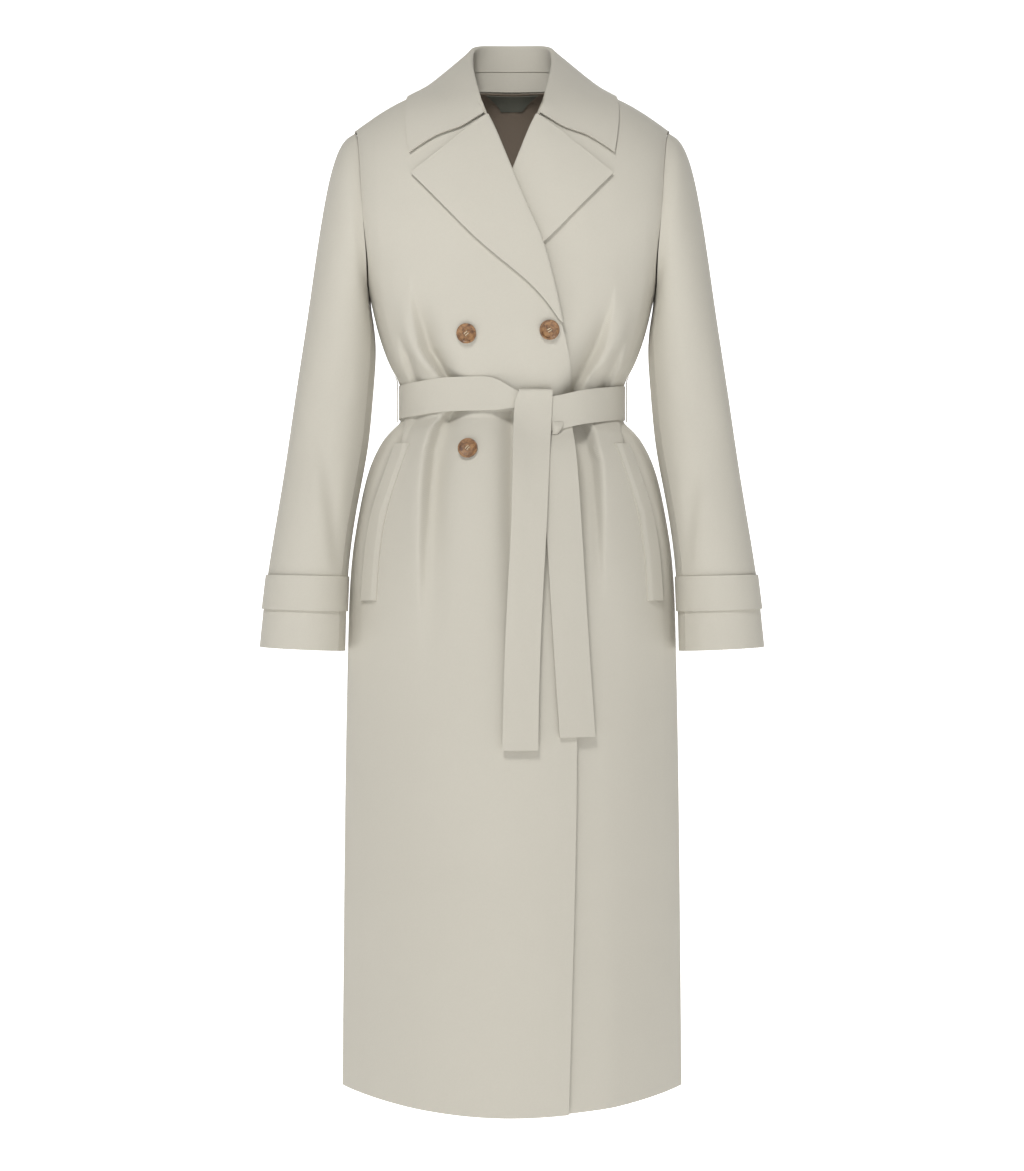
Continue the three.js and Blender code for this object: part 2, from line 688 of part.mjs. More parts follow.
// A lapel turned out over its front. Its inner edge rolls round from the front's own edge.
function lapel(hand) {
  const grid = LAPEL_ROWS.map((row) => {
    const rollX = -column(FRONT_EDGE, "level", "across", row.level);
    const root = frontSpot(hand, turnAt(rollX, row.level), row.level);
    const start = new THREE.Vector2(rollX, root.point.z);
    const end = new THREE.Vector2(row.x, row.z);
    const inward = frontSpot(hand, turnAt(rollX - 2, row.level), row.level).point.sub(root.point);
    inward.addScaledVector(root.normal, -inward.dot(root.normal)).normalize();
    const radius = (LAPEL.lift + CLOTH / 2) / 2;
    const fold = [];
    for (let i = 0; i < LAPEL.foldSteps; i += 1) {
      const turn = radians(mix(-90, 90, i / LAPEL.foldSteps));
      const point = root.point
        .clone()
        .addScaledVector(root.normal, radius - CLOTH / 2 + radius * Math.sin(turn))
        .addScaledVector(inward, SEAM + radius * Math.cos(turn));
      const normal = root.normal.clone().multiplyScalar(Math.sin(turn));
      normal.addScaledVector(inward, Math.cos(turn));
      fold.push({ point, normal });
    }
    const spread = [];
    for (let i = 0; i <= LAPEL.columns; i += 1) {
      const at = start.clone().lerp(end, i / LAPEL.columns);
      const { turn, level } = addressOf(at.x, at.y);
      const spot = frontSpot(hand, turn, level);
      spot.point.addScaledVector(spot.normal, LAPEL.lift);
      spread.push(spot);
    }
    return [...fold, ...spread];
  });
  return wall(grid, -CLOTH / 2, CLOTH / 2);
}

// Collar

const vector = (list, mirror = 1) => new THREE.Vector3(mirror * list[0], list[1], list[2]);

// Moves a point out until it is clear of the coat's own surface.
function pushOut(point, clear) {
  const over = point.z - shoulderLine(point.x);
  if (over >= 0) {
    if (Math.abs(point.y - SHOULDER.middle) < 20) point.z += Math.max(0, clear - over);
    return point;
  }
  const side = point.y < SHOULDER.middle ? FRONT : BACK;
  const spot = spotAt(side, point.x, point.z);
  const away = point.clone().sub(spot.point).dot(spot.normal);
  return away < clear ? point.addScaledVector(spot.normal, clear - away) : point;
}

// One cross-section of the collar: the foot of the stand, the seam on top of the stand, the fold and
// the fall down to the outer edge.
function collarSection(row, mirror) {
  const level = row.side === FRONT ? row.level : backTop(turnAt(row.x, 0));
  const spot = coatSpot(row.side, mirror * turnAt(row.x, level), level);
  const inward = new THREE.Vector3(0, NECK.backLevel, NECK.backLevel).sub(spot.point);
  inward.addScaledVector(spot.normal, -inward.dot(spot.normal)).normalize();
  const foot = spot.point.clone().addScaledVector(inward, COLLAR.gap + CLOTH / 2);
  foot.addScaledVector(spot.normal, -CLOTH / 2);
  const fold = row.fold ? vector(row.fold, mirror) : foot.clone().addScaledVector(inward, row.radius);
  const rise = fold.clone().sub(foot).normalize();
  const edge = vector(row.edge, mirror);
  const out = edge.clone().sub(fold);
  out.addScaledVector(rise, -out.dot(rise)).normalize();
  const standTop = row.fold ? foot.clone().lerp(fold, COLLAR.standShare) : foot;
  const bend = fold.clone().addScaledVector(rise, -row.radius).addScaledVector(out, row.radius);
  const points = [standTop, standTop.clone().lerp(bend.clone().addScaledVector(out, -row.radius), 0.55)];
  for (let i = 0; i < COLLAR.foldSteps; i += 1) {
    const turn = (Math.PI * i) / COLLAR.foldSteps;
    const arm = out.clone().multiplyScalar(-row.radius * Math.cos(turn));
    points.push(bend.clone().add(arm).addScaledVector(rise, row.radius * Math.sin(turn)));
  }
  const start = bend.clone().addScaledVector(out, row.radius);
  const puff = out.clone().multiplyScalar(0.5).addScaledVector(rise, 0.8).multiplyScalar(COLLAR.puff);
  const knee = start.clone().lerp(edge, 0.4).add(puff);
  for (let i = 0; i <= COLLAR.spread; i += 1) {
    const t = i / COLLAR.spread;
    const point = start.clone().multiplyScalar((1 - t) ** 2);
    point.addScaledVector(knee, 2 * t * (1 - t)).addScaledVector(edge, t * t);
    if (!row.fold) point.z -= NOTCH.sag * Math.max(0, 1 - Math.abs(i - NOTCH.step) / NOTCH.step);
    points.push(pushOut(point, COLLAR.clear));
  }
  return { foot, standTop, rise, points };
}

function collarSections() {
  const half = COLLAR_ROWS.map((row) => collarSection(row, -1));
  const other = COLLAR_ROWS.slice(0, -1).map((row) => collarSection(row, 1));
  return [...half, ...other.reverse()];
}

function collarFall() {
  const bend = 2 + COLLAR.foldSteps / 2;
  const grid = collarSections().map((section) => section.points);
  const away = (point, r, c) => {
    if (c >= bend) return point.clone().sub(grid[r][1]);
    return new THREE.Vector3(-point.x, -point.y, 20);
  };
  return wall(spotsOf(grid, away), -CLOTH / 2, CLOTH / 2);
}

// The stand is the strip between the neck seam and the seam below the fold.
function collarStand() {
  const grid = collarSections()
    .slice(1, -1)
    .map(({ foot, standTop, rise }) => {
      const top = standTop.clone().addScaledVector(rise, -COLLAR.seam);
      return [0, 0.5, 1].map((t) => foot.clone().lerp(top, t));
    });
  return wall(spotsOf(grid, (point) => new THREE.Vector3(point.x, point.y, 0)), -CLOTH / 2, CLOTH / 2);
}

// The lining of the back as far as the open neck shows it, and the plain label sewn on it.
function liningBack() {
  const { rows, sides, gap } = LINING_PANEL;
  const grid = backGrid()
    .slice(0, rows)
    .map((row) => row.slice(sides, -sides));
  return wall(grid, -CLOTH - gap - LINING, -CLOTH - gap);
}

function neckLabel() {
  const { top, bottom, from, to, thick, rows, columns } = LABEL;
  const lift = -CLOTH - LINING_PANEL.gap - LINING - LABEL.gap;
  const grid = [];
  for (let r = 0; r <= rows; r += 1) {
    const width = mix(bottom, top, (1 - r / rows) ** 1.6);
    const z = mix(from, to, r / rows);
    const row = [];
    for (let c = 0; c <= columns; c += 1) row.push(spotAt(BACK, mix(-width, width, c / columns), z, lift));
    grid.push(row);
  }
  return wall(grid, -thick, 0);
}

// Sleeves

// A point of the armhole seam at an angle round it, 0 at the shoulder, 90 in front, 180 underneath.
function armholeSpot(angle) {
  const side = angle > 0 && angle < 180 ? FRONT : BACK;
  const key = side === FRONT ? "front" : "back";
  const top = shoulderLine(coatPoint(FRONT, ARMHOLE[0].front, 0).x);
  const wanted = mix(UNDERARM, top, (1 + Math.cos(radians(angle))) / 2);
  let low = UNDERARM;
  let high = 0;
  for (let i = 0; i < 24; i += 1) {
    const middle = (low + high) / 2;
    if (coatPoint(side, column(ARMHOLE, "level", key, middle), middle).z > wanted) high = middle;
    else low = middle;
  }
  return coatSpot(side, column(ARMHOLE, "level", key, low), low);
}

const SLEEVE_TABLE = SLEEVE_ROWS.map((row, i) => ({ at: i + 1, ...row }));

function sleeveOval(at, angle) {
  const value = (key) => column(SLEEVE_TABLE, "at", key, at);
  const outer = new THREE.Vector3(value("outX"), value("y"), value("outZ"));
  const inner = new THREE.Vector3(value("inX"), value("y"), value("inZ"));
  const arm = outer.clone().sub(inner).multiplyScalar(0.5 * Math.cos(radians(angle)));
  const point = outer.lerp(inner, 0.5).add(arm);
  point.y -= value("depth") * Math.sin(radians(angle));
  return point;
}

// at counts the rows of the sleeve table, 0 at the armhole and 1 at the table's first row.
function sleevePoint(at, angle) {
  if (at >= 1) return sleeveOval(at, angle);
  const spot = armholeSpot(((angle % 360) + 360) % 360);
  spot.point.x += SLEEVE_GAP;
  return spot.point.lerp(sleeveOval(1, angle), at);
}

function sleeveSpot(at, angle) {
  const round = sleevePoint(at, angle + 2).sub(sleevePoint(at, angle - 2));
  const along = sleevePoint(at + 0.1, angle).sub(sleevePoint(Math.max(0, at - 0.1), angle));
  const normal = round.cross(along).normalize();
  const point = sleevePoint(at, angle);
  const { trough, crest, width, height, top, bottom, middle } = SLEEVE_FOLD;
  const ends = smooth(top, middle, at) * smooth(bottom, middle, at);
  const bump = (centre) => Math.exp(-(((angle - centre) / width) ** 2));
  point.addScaledVector(normal, height * ends * (bump(crest) - bump(trough)));
  if (at === 0) {
    const body = armholeSpot(((angle % 360) + 360) % 360).normal;
    if (body.dot(normal) > 0.3) normal.copy(body);
  }
  return { point, normal };
}

// Angles of the points round the sleeve: the top piece passes over the shoulder, the under piece
// closes the rest.
const steps = (from, to, count) => Array.from({ length: count + 1 }, (_, i) => mix(from, to, i / count));
const TOP_ANGLES = [
  ...steps(SLEEVE_SEAM.back - 360, 0, SLEEVE_SPANS.back),
  ...steps(0, SLEEVE_SEAM.front, SLEEVE_SPANS.front).slice(1),
];
const UNDER_ANGLES = steps(SLEEVE_SEAM.front, SLEEVE_SEAM.back, SLEEVE_SPANS.under);

function sleeveGrid(hand, rows, angles) {
  return rows.map((at) =>
    angles.map((angle) => {
      const spot = sleeveSpot(at, angle);
      return hand < 0 ? mirroredSpot(spot) : spot;
    }),
  );
}

function sleevePiece(hand, seamAngles) {
  const last = seamAngles.length - 1;
  const angles = [...seamAngles];
  angles[0] += SLEEVE_SEAM.gap;
  angles[last] -= SLEEVE_SEAM.gap;
  const rows = steps(0, SLEEVE_TABLE.length, SLEEVE_TABLE.length);
  return wall(sleeveGrid(hand, rows, angles), -CLOTH, 0);
}

function cuffStrap(hand) {
  const { rows, gap, thick } = CUFF_STRAP;
  const angles = [...TOP_ANGLES.slice(0, -1), ...UNDER_ANGLES.slice(0, -1)];
  return wall(sleeveGrid(hand, rows, angles), gap, gap + thick, true);
}

// Pocket welts

function pocketWelt(hand) {
  const { width, thick, gap, columns } = WELT;
  const levels = FRONT_LEVELS.filter((level) => level <= POCKET.top && level >= POCKET.bottom);
  const grid = levels.map((level) => {
    const edge = column(FRONT_GUIDES, "level", "pocket", level);
    const row = [];
    for (let c = 0; c <= columns; c += 1) {
      const turn = turnAt(edge - (width * c) / columns, level);
      const { point } = frontSpot(hand, turn, level);
      row.push({ point, normal: plainNormal(FRONT, hand * turn, level) });
    }
    return row;
  });
  return wall(grid, gap, gap + thick);
}

// Belt

// The belt's path round the waist. x is taken from the plain form of the waist, lift is how far the
// back of the cloth stands off it, and top and bottom are the belt's edges.
function beltStations() {
  const stations = [];
  const put = (side, turn) => {
    const point = plainPoint(side, turn, BELT.middle);
    const normal = plainNormal(side, turn, BELT.middle);
    normal.z = 0;
    normal.normalize();
    const front = side === FRONT;
    const right = front && point.x > BELT_TAILS.leftEnd + 1;
    const narrowing = front && !right ? smooth(BELT_TAILS.narrowFrom, BELT_TAILS.leftEnd, point.x) : 0;
    const dip = sideDrop(point.x) + (right ? knotDrop(point.x) : 0);
    const near = right
      ? smooth(BELT_TAILS.riseRight, BELT_TAILS.flatRight, point.x)
      : smooth(BELT_TAILS.riseLeft, BELT_TAILS.flatLeft, point.x);
    const middle = mix(BELT.middle, BELT_TAILS.leftMiddle, narrowing) - dip;
    const half = mix(BELT.half, BELT_TAILS.leftHalf, narrowing);
    const lift = mix(BELT.lift, BELT_TAILS.lift, front ? near : 0);
    point.addScaledVector(normal, lift);
    stations.push({ point, normal, top: middle + half, bottom: middle - half });
  };
  const { leftEnd, rightEnd } = BELT_TAILS;
  const level = BELT.middle;
  for (const turn of evenTurns(FRONT, level, turnAt(leftEnd, level), -90, BELT.frontSteps)) put(FRONT, turn);
  for (const turn of evenTurns(BACK, level, -90, 90, BACK_COLUMNS).slice(1, -1)) put(BACK, turn);
  for (const turn of evenTurns(FRONT, level, 90, turnAt(rightEnd, level), BELT.frontSteps)) put(FRONT, turn);
  return stations;
}

function beltBand() {
  const grid = beltStations().map(({ point, normal, top, bottom }) =>
    [0, 0.5, 1].map((t) => ({ point: new THREE.Vector3(point.x, point.y, mix(top, bottom, t)), normal })),
  );
  return wall(grid, 0, BELT.thick);
}

// A place at x and z that stands off the coat's front, measured straight out from it.
function offFront(x, z, off) {
  const { turn, level } = addressOf(x, z);
  const point = plainPoint(FRONT, turn, level);
  return new THREE.Vector3(x, point.y - off, z);
}

const STRAP_COLUMNS = 4;

function strapRow(left, right, z, off) {
  const row = [];
  for (let c = 0; c <= STRAP_COLUMNS; c += 1) row.push(offFront(mix(left, right, c / STRAP_COLUMNS), z, off));
  return row;
}

const outOfFront = () => new THREE.Vector3(0, -1, 0);

// The belt end in front comes up behind the belt, folds over its top and hangs down in front.
function beltEndFront() {
  const half = BELT.thick / 2;
  const { back, front, top, tail, left, right, steps } = BELT_TURN;
  const first = BELT_END_FRONT[0];
  const radius = (front - back) / 2;
  const centre = top - half - radius;
  const rows = [strapRow(left, right, tail, back + half), strapRow(left, right, centre - 9, back + half)];
  for (let i = 0; i <= steps; i += 1) {
    const turn = (Math.PI * i) / steps;
    const off = (back + front) / 2 + half - radius * Math.cos(turn);
    rows.push(strapRow(first.left + 4, first.right, centre + radius * Math.sin(turn), off));
  }
  for (const row of BELT_END_FRONT) rows.push(strapRow(row.left, row.right, row.z, row.off + half));
  const away = (point, r) => {
    if (r < 2) return new THREE.Vector3(0, 1, 0);
    if (r > steps + 2) return new THREE.Vector3(0, -1, 0);
    const turn = (Math.PI * (r - 2)) / steps;
    return new THREE.Vector3(0, Math.cos(turn), Math.sin(turn));
  };
  return wall(spotsOf(rows, away), -half, half);
}

function beltEndBehind() {
  const half = BELT.thick / 2;
  const rows = BELT_END_BEHIND.map((row) => strapRow(row.left, row.right, row.z, row.off + half));
  return wall(spotsOf(rows, outOfFront), -half, half);
}

// The small fold of cloth that the knot pushes out below the belt.
function beltKnot() {
  const { left, right, taper, top, bottom, off, thick, rows, columns } = KNOT;
  const grid = [];
  for (let r = 0; r <= rows; r += 1) {
    const row = [];
    for (let c = 0; c <= columns; c += 1) {
      const x = mix(left, right - taper * (r / rows) ** 2, c / columns);
      const z = mix(top, bottom, r / rows);
      const downwards = Math.sin((Math.PI * (r + 0.4)) / (rows + 0.8));
      const swell = downwards * Math.sin((Math.PI * (c + 0.6)) / (columns + 1.2));
      row.push({ point: offFront(x, z, off), normal: new THREE.Vector3(0, -swell, 0) });
    }
    grid.push(row);
  }
  return wall(grid, 0, thick);
}

// A narrow loop at the side seam that holds the belt.
function beltLoop(hand) {
  const beltOut = column(SECTIONS, "level", "half", BELT.middle) + BELT.lift + BELT.thick;
  const grid = [];
  for (let r = 0; r <= LOOP.rows; r += 1) {
    const z = mix(LOOP.top, LOOP.bottom, r / LOOP.rows);
    const x = Math.max(column(SECTIONS, "level", "half", z), beltOut) + LOOP.off;
    const normal = new THREE.Vector3(hand, 0, 0);
    const spot = (y) => ({ point: new THREE.Vector3(hand * x, y, z), normal });
    grid.push([spot(-LOOP.width / 2), spot(LOOP.width / 2)]);
  }
  return wall(grid, 0, LOOP.thick);
}

// Buttons

function circle(centreX, centreY, radius, sides) {
  return Array.from({ length: sides }, (_, i) => {
    const turn = (Math.PI * 2 * i) / sides;
    return new THREE.Vector2(centreX + radius * Math.cos(turn), centreY + radius * Math.sin(turn));
  });
}

function buttonGeometry() {
  const { radius, thick, bevel, hole, holeSpread, sides, holeSides } = BUTTON;
  const outline = new THREE.Shape(circle(0, 0, radius - bevel, sides));
  for (const [right, up] of [[1, 1], [-1, 1], [-1, -1], [1, -1]]) {
    outline.holes.push(new THREE.Path(circle(right * holeSpread, up * holeSpread, hole, holeSides)));
  }
  return new THREE.ExtrudeGeometry(outline, {
    depth: thick - 2 * bevel,
    bevelSize: bevel,
    bevelThickness: bevel,
    bevelSegments: 1,
  });
}

// Materials and assembly

const COLOURS = { cloth: 0xc3bfb2, lining: 0x584e42, label: 0x55564c, horn: 0x96704a };
function material(colour, roughness) {
  return new THREE.MeshStandardMaterial({ color: colour, roughness, metalness: 0 });
}

const coat = new THREE.Group();

function add(name, geometry, colour = COLOURS.cloth, roughness = 0.85) {
  const mesh = new THREE.Mesh(geometry, material(colour, roughness));
  mesh.name = name;
  coat.add(mesh);
  return mesh;
}

add("front_right", frontPanel(-1));
add("front_left", frontPanel(1));
add("back", backPanel());
add("lapel_right", lapel(-1));
add("lapel_left", lapel(1));
add("collar_fall", collarFall());
add("collar_stand", collarStand());
add("lining_back", liningBack(), COLOURS.lining, 0.6);
add("neck_label", neckLabel(), COLOURS.label, 0.7);
for (const [hand, name] of [[-1, "right"], [1, "left"]]) {
  add(`sleeve_top_${name}`, sleevePiece(hand, TOP_ANGLES));
  add(`sleeve_under_${name}`, sleevePiece(hand, UNDER_ANGLES));
  add(`cuff_strap_${name}`, cuffStrap(hand));
  add(`pocket_welt_${name}`, pocketWelt(hand));
  add(`belt_loop_${name}`, beltLoop(hand));
}
add("belt_band", beltBand());
add("belt_knot", beltKnot());
add("belt_end_front", beltEndFront());
add("belt_end_behind", beltEndBehind());
for (const { name, x, z, lift } of BUTTON_PLACES) {
  const button = add(name, buttonGeometry(), COLOURS.horn, 0.35);
  const { point, normal } = spotAt(FRONT, x, z, lift + BUTTON.bevel);
  button.position.copy(point);
  button.quaternion.setFromUnitVectors(new THREE.Vector3(0, 0, 1), normal);
}

export default coat;
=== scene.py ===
"""A trench coat, filled out as worn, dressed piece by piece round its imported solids."""

import math

import bmesh
import bpy
import numpy as np
from mathutils import Matrix, Vector


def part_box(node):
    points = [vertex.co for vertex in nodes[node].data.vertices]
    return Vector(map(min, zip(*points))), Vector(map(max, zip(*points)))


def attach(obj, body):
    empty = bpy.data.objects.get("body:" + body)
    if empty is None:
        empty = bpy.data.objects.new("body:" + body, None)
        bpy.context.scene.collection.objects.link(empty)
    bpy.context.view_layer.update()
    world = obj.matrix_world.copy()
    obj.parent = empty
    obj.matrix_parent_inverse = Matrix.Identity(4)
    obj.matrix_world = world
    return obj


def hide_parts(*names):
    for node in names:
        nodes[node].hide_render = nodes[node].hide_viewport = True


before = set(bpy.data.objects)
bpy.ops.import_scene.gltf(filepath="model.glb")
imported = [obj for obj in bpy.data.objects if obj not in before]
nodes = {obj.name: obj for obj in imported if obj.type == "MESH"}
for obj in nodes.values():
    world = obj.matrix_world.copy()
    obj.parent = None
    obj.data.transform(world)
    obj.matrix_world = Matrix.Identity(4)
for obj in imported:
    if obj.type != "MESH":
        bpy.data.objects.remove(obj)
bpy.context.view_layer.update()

# The stage. A plain white floor that sweeps up well behind the coat, a soft main light in front,
# above and to the left, a weaker one low in front, one behind, and the camera level with the
# middle of the coat.
EYE_DISTANCE = 2.7
EYE_HEIGHT = -0.607
LENS = 68
SENSOR = 36
FLOOR_HEIGHT = -1.47
SWEEP = {"wide": 16.0, "front": -6.0, "back": 6.5, "tall": 7.0, "bend": 1.2}
WORLD_LIGHT = 0.17
FLOOR_PAINT = {"shade": 0.93, "roughness": 0.9, "glow": 0.86}
LAMPS = [
    {"name": "key", "place": (-0.5, -2.1, 1.7), "aim": (0.0, 0.0, -0.62), "size": 0.7, "power": 49},
    {"name": "fill", "place": (0.3, -3.6, -1.0), "aim": (0.0, 0.0, -0.75), "size": 2.0, "power": 25},
    {"name": "behind", "place": (0.5, 2.4, 1.0), "aim": (0.0, 0.0, -0.6), "size": 2.0, "power": 34},
]


def alone():
    """Deselects all, so that the next operator acts only on what it makes."""
    bpy.ops.object.select_all(action="DESELECT")


def only(thing):
    """Selects one object alone and makes it the active one."""
    alone()
    thing.select_set(True)
    bpy.context.view_layer.objects.active = thing


def aim(thing, target):
    """Turns a lamp to face a point."""
    thing.rotation_euler = (Vector(target) - thing.location).to_track_quat("-Z", "Y").to_euler()


alone()
bpy.ops.object.camera_add(location=(0, -EYE_DISTANCE, EYE_HEIGHT), rotation=(math.pi / 2, 0, 0))
camera = bpy.context.object
camera.data.lens = LENS
camera.data.sensor_width = SENSOR
camera.data.clip_end = 60
bpy.context.scene.camera = camera

for lamp in LAMPS:
    bpy.ops.object.light_add(type="AREA", location=lamp["place"])
    light = bpy.context.object
    light.name = "lamp_" + lamp["name"]
    light.data.size = lamp["size"]
    light.data.energy = lamp["power"]
    aim(light, lamp["aim"])

world = bpy.data.worlds.new("studio")
world.use_nodes = True
world.node_tree.nodes["Background"].inputs["Color"].default_value = (1.0, 1.0, 1.0, 1.0)
world.node_tree.nodes["Background"].inputs["Strength"].default_value = WORLD_LIGHT
bpy.context.scene.world = world
bpy.context.scene.view_settings.view_transform = "Standard"

alone()
bpy.ops.mesh.primitive_plane_add(size=1)
floor = bpy.context.object
floor.name = "floor"
floor.scale = (SWEEP["wide"], SWEEP["back"] - SWEEP["front"], 1)
floor.location = (0, (SWEEP["back"] + SWEEP["front"]) / 2, FLOOR_HEIGHT)
bpy.ops.object.transform_apply(location=True, rotation=True, scale=True)
bpy.ops.object.mode_set(mode="EDIT")
bpy.ops.mesh.select_mode(type="EDGE")
bpy.ops.mesh.select_all(action="DESELECT")
bpy.ops.object.mode_set(mode="OBJECT")
for edge in floor.data.edges:
    edge.select = all(floor.data.vertices[v].co.y > SWEEP["back"] - 0.01 for v in edge.vertices)
bpy.ops.object.mode_set(mode="EDIT")
bpy.ops.mesh.extrude_region_move(TRANSFORM_OT_translate={"value": (0, 0, SWEEP["tall"])})
bpy.ops.object.mode_set(mode="OBJECT")
bend = floor.modifiers.new("bend", "BEVEL")
bend.width = SWEEP["bend"]
bend.segments = 16
bend.limit_method = "ANGLE"
bpy.ops.object.modifier_apply(modifier="bend")
bpy.ops.object.shade_smooth()
paint = bpy.data.materials.new("floor_paint")
paint.use_nodes = True
paint_shader = paint.node_tree.nodes["Principled BSDF"]
paint_shader.inputs["Base Color"].default_value = (*[FLOOR_PAINT["shade"]] * 3, 1.0)
paint_shader.inputs["Roughness"].default_value = FLOOR_PAINT["roughness"]
paint_shader.inputs["Emission Color"].default_value = (1.0, 1.0, 1.0, 1.0)
paint_shader.inputs["Emission Strength"].default_value = FLOOR_PAINT["glow"]
floor.data.materials.append(paint)

# The body's back and two fronts. Stone grey-beige wool gabardine, matt and close, cut in three
# panels and sewn at the shoulders and sides. Each is a thin shell on its solid, smoothed, with the
# creases that the belt draws in pressed into it.
CLOTH = {"mid": (0.548, 0.520, 0.447), "deep": (0.480, 0.453, 0.386), "pale": (0.590, 0.562, 0.488)}
TWILL = {"pitch": 0.0009, "depth": 0.00012, "roughness": 0.86}
RIM_ANGLE = math.radians(62)
SOFT_ANGLE = math.radians(50)
WELD = 1e-5
SHOULDER_CORNER = {"above": -0.058, "beyond": 0.18, "crease": 0.8}
BODY_OVAL = {"wide": 0.17, "deep": 0.105}

# Creases of the body, each down a path of points across and up. The cloth on the lip side, -1 for
# the coat's right and 1 for its left, stands over the trough. top and low are the shares of the path
# over which the crease fades at its upper and lower ends, and ridge is how far the lip stands up, as
# a share of the trough's depth.
FRONT_CREASES = [
    {"path": [(-0.121, -0.235), (-0.117, -0.275), (-0.107, -0.325), (-0.081, -0.366)],
     "lip": -1, "deep": 0.0150, "wide": 0.018, "top": 0.9, "low": 0.0, "ridge": 0.35},
    {"path": [(-0.137, -0.305), (-0.129, -0.335), (-0.120, -0.366)],
     "lip": -1, "deep": 0.0065, "wide": 0.011, "top": 0.6, "low": 0.0, "ridge": 0.3},
    {"path": [(0.124, -0.240), (0.118, -0.280), (0.107, -0.325), (0.085, -0.366), (0.079, -0.386)],
     "lip": 1, "deep": 0.0150, "wide": 0.018, "top": 0.9, "low": 0.0, "ridge": 0.35},
    {"path": [(0.136, -0.312), (0.127, -0.340), (0.118, -0.366), (0.116, -0.380)],
     "lip": 1, "deep": 0.0065, "wide": 0.011, "top": 0.6, "low": 0.0, "ridge": 0.3},
    {"path": [(-0.074, -0.396), (-0.091, -0.418), (-0.099, -0.446), (-0.103, -0.490), (-0.106, -0.560),
              (-0.107, -0.690)],
     "lip": -1, "deep": 0.0135, "wide": 0.020, "top": 0.0, "low": 0.8, "ridge": 0.5},
    {"path": [(0.083, -0.400), (0.094, -0.425), (0.102, -0.460), (0.105, -0.520), (0.108, -0.640)],
     "lip": 1, "deep": 0.0135, "wide": 0.026, "top": 0.0, "low": 0.8, "ridge": 0.5},
    {"path": [(0.004, -0.400), (0.003, -0.520), (0.001, -0.760)],
     "lip": 1, "deep": 0.0120, "wide": 0.017, "top": 0.0, "low": 0.85, "ridge": 0.0},
    {"path": [(-0.116, -0.402), (-0.127, -0.430), (-0.131, -0.470)],
     "lip": -1, "deep": 0.0022, "wide": 0.012, "top": 0.0, "low": 0.9, "ridge": 0.3},
]
BACK_CREASES = [
    {"path": [(-0.083, -0.225), (-0.074, -0.290), (-0.056, -0.362)],
     "lip": -1, "deep": 0.0060, "wide": 0.022, "top": 0.85, "low": 0.0, "ridge": 0.4},
    {"path": [(0.090, -0.240), (0.078, -0.300), (0.062, -0.362)],
     "lip": 1, "deep": 0.0055, "wide": 0.020, "top": 0.85, "low": 0.0, "ridge": 0.4},
    {"path": [(0.020, -0.270), (0.012, -0.320), (0.010, -0.362)],
     "lip": 1, "deep": 0.0035, "wide": 0.018, "top": 0.85, "low": 0.0, "ridge": 0.3},
    {"path": [(-0.046, -0.400), (-0.060, -0.450), (-0.068, -0.560), (-0.070, -0.720)],
     "lip": -1, "deep": 0.0070, "wide": 0.024, "top": 0.0, "low": 0.85, "ridge": 0.45},
    {"path": [(0.052, -0.400), (0.062, -0.450), (0.070, -0.560), (0.073, -0.690)],
     "lip": 1, "deep": 0.0065, "wide": 0.024, "top": 0.0, "low": 0.85, "ridge": 0.45},
    {"path": [(0.004, -0.400), (0.003, -0.520), (0.001, -0.640)],
     "lip": 1, "deep": 0.0040, "wide": 0.022, "top": 0.0, "low": 0.85, "ridge": 0.2},
]
# The cloth behind each pocket's free edge hangs back from it, alike on both sides. The edge is a
# path of points out from the middle and up.
POCKET_EDGE = [
    (0.1292, -0.4050), (0.1372, -0.4428), (0.1466, -0.4687), (0.1656, -0.5193), (0.1732, -0.5770),
    (0.1762, -0.6241),
]
POCKET_GAP = {"deep": 0.0200, "wide": 0.0075, "top": 0.12, "low": 0.12, "ridge": 0.0}
POCKET_EDGES = [
    {"path": [(side * out, up) for out, up in POCKET_EDGE], "lip": -side, **POCKET_GAP}
    for side in (-1, 1)
]
LIP_STEP = 0.0020
RIDGE_REACH = 1.4
SIDE_BLEND = 0.02
BELT_EDGES = {"high": -0.362, "low": -0.402, "fade": 0.022}


def smoothstep(low, high, value):
    """Rises softly from 0 at low to 1 at high."""
    t = np.clip((value - low) / max(high - low, 1e-6), 0, 1)
    return t * t * (3 - 2 * t)


def pressed(table, across, up, step=LIP_STEP):
    """How far each point moves outwards for the creases of one table, in metres."""
    moved = np.zeros_like(across)
    clear = np.maximum(
        smoothstep(BELT_EDGES["high"], BELT_EDGES["high"] + BELT_EDGES["fade"], up),
        smoothstep(-BELT_EDGES["low"], BELT_EDGES["fade"] - BELT_EDGES["low"], -up),
    )
    for crease in table:
        path = np.array(crease["path"])[::-1]
        middle = np.interp(up, path[:, 1], path[:, 0])
        down = (path[-1, 1] - up) / (path[-1, 1] - path[0, 1])
        away = (across - middle) * crease["lip"]
        high = 0.5 + 0.5 * np.tanh(away / step)
        ends = smoothstep(0, crease["top"], down) * smoothstep(0, crease["low"], 1 - down)
        ends *= (down > 0) & (down < 1)
        wide = crease["wide"]
        ridge = crease["ridge"] * high * np.exp(-((away / (RIDGE_REACH * wide)) ** 2)) * clear
        trough = (1 - high) * np.exp(-((away / wide) ** 2))
        moved += crease["deep"] * ends * (ridge - trough)
    return moved


def outwards(points):
    """Level direction out of the body's oval at each point."""
    x, y = points[:, 0], points[:, 1]
    out = np.stack([x / BODY_OVAL["wide"] ** 2, y / BODY_OVAL["deep"] ** 2, np.zeros_like(x)], axis=1)
    return out / np.maximum(np.linalg.norm(out, axis=1, keepdims=True), 1e-9)


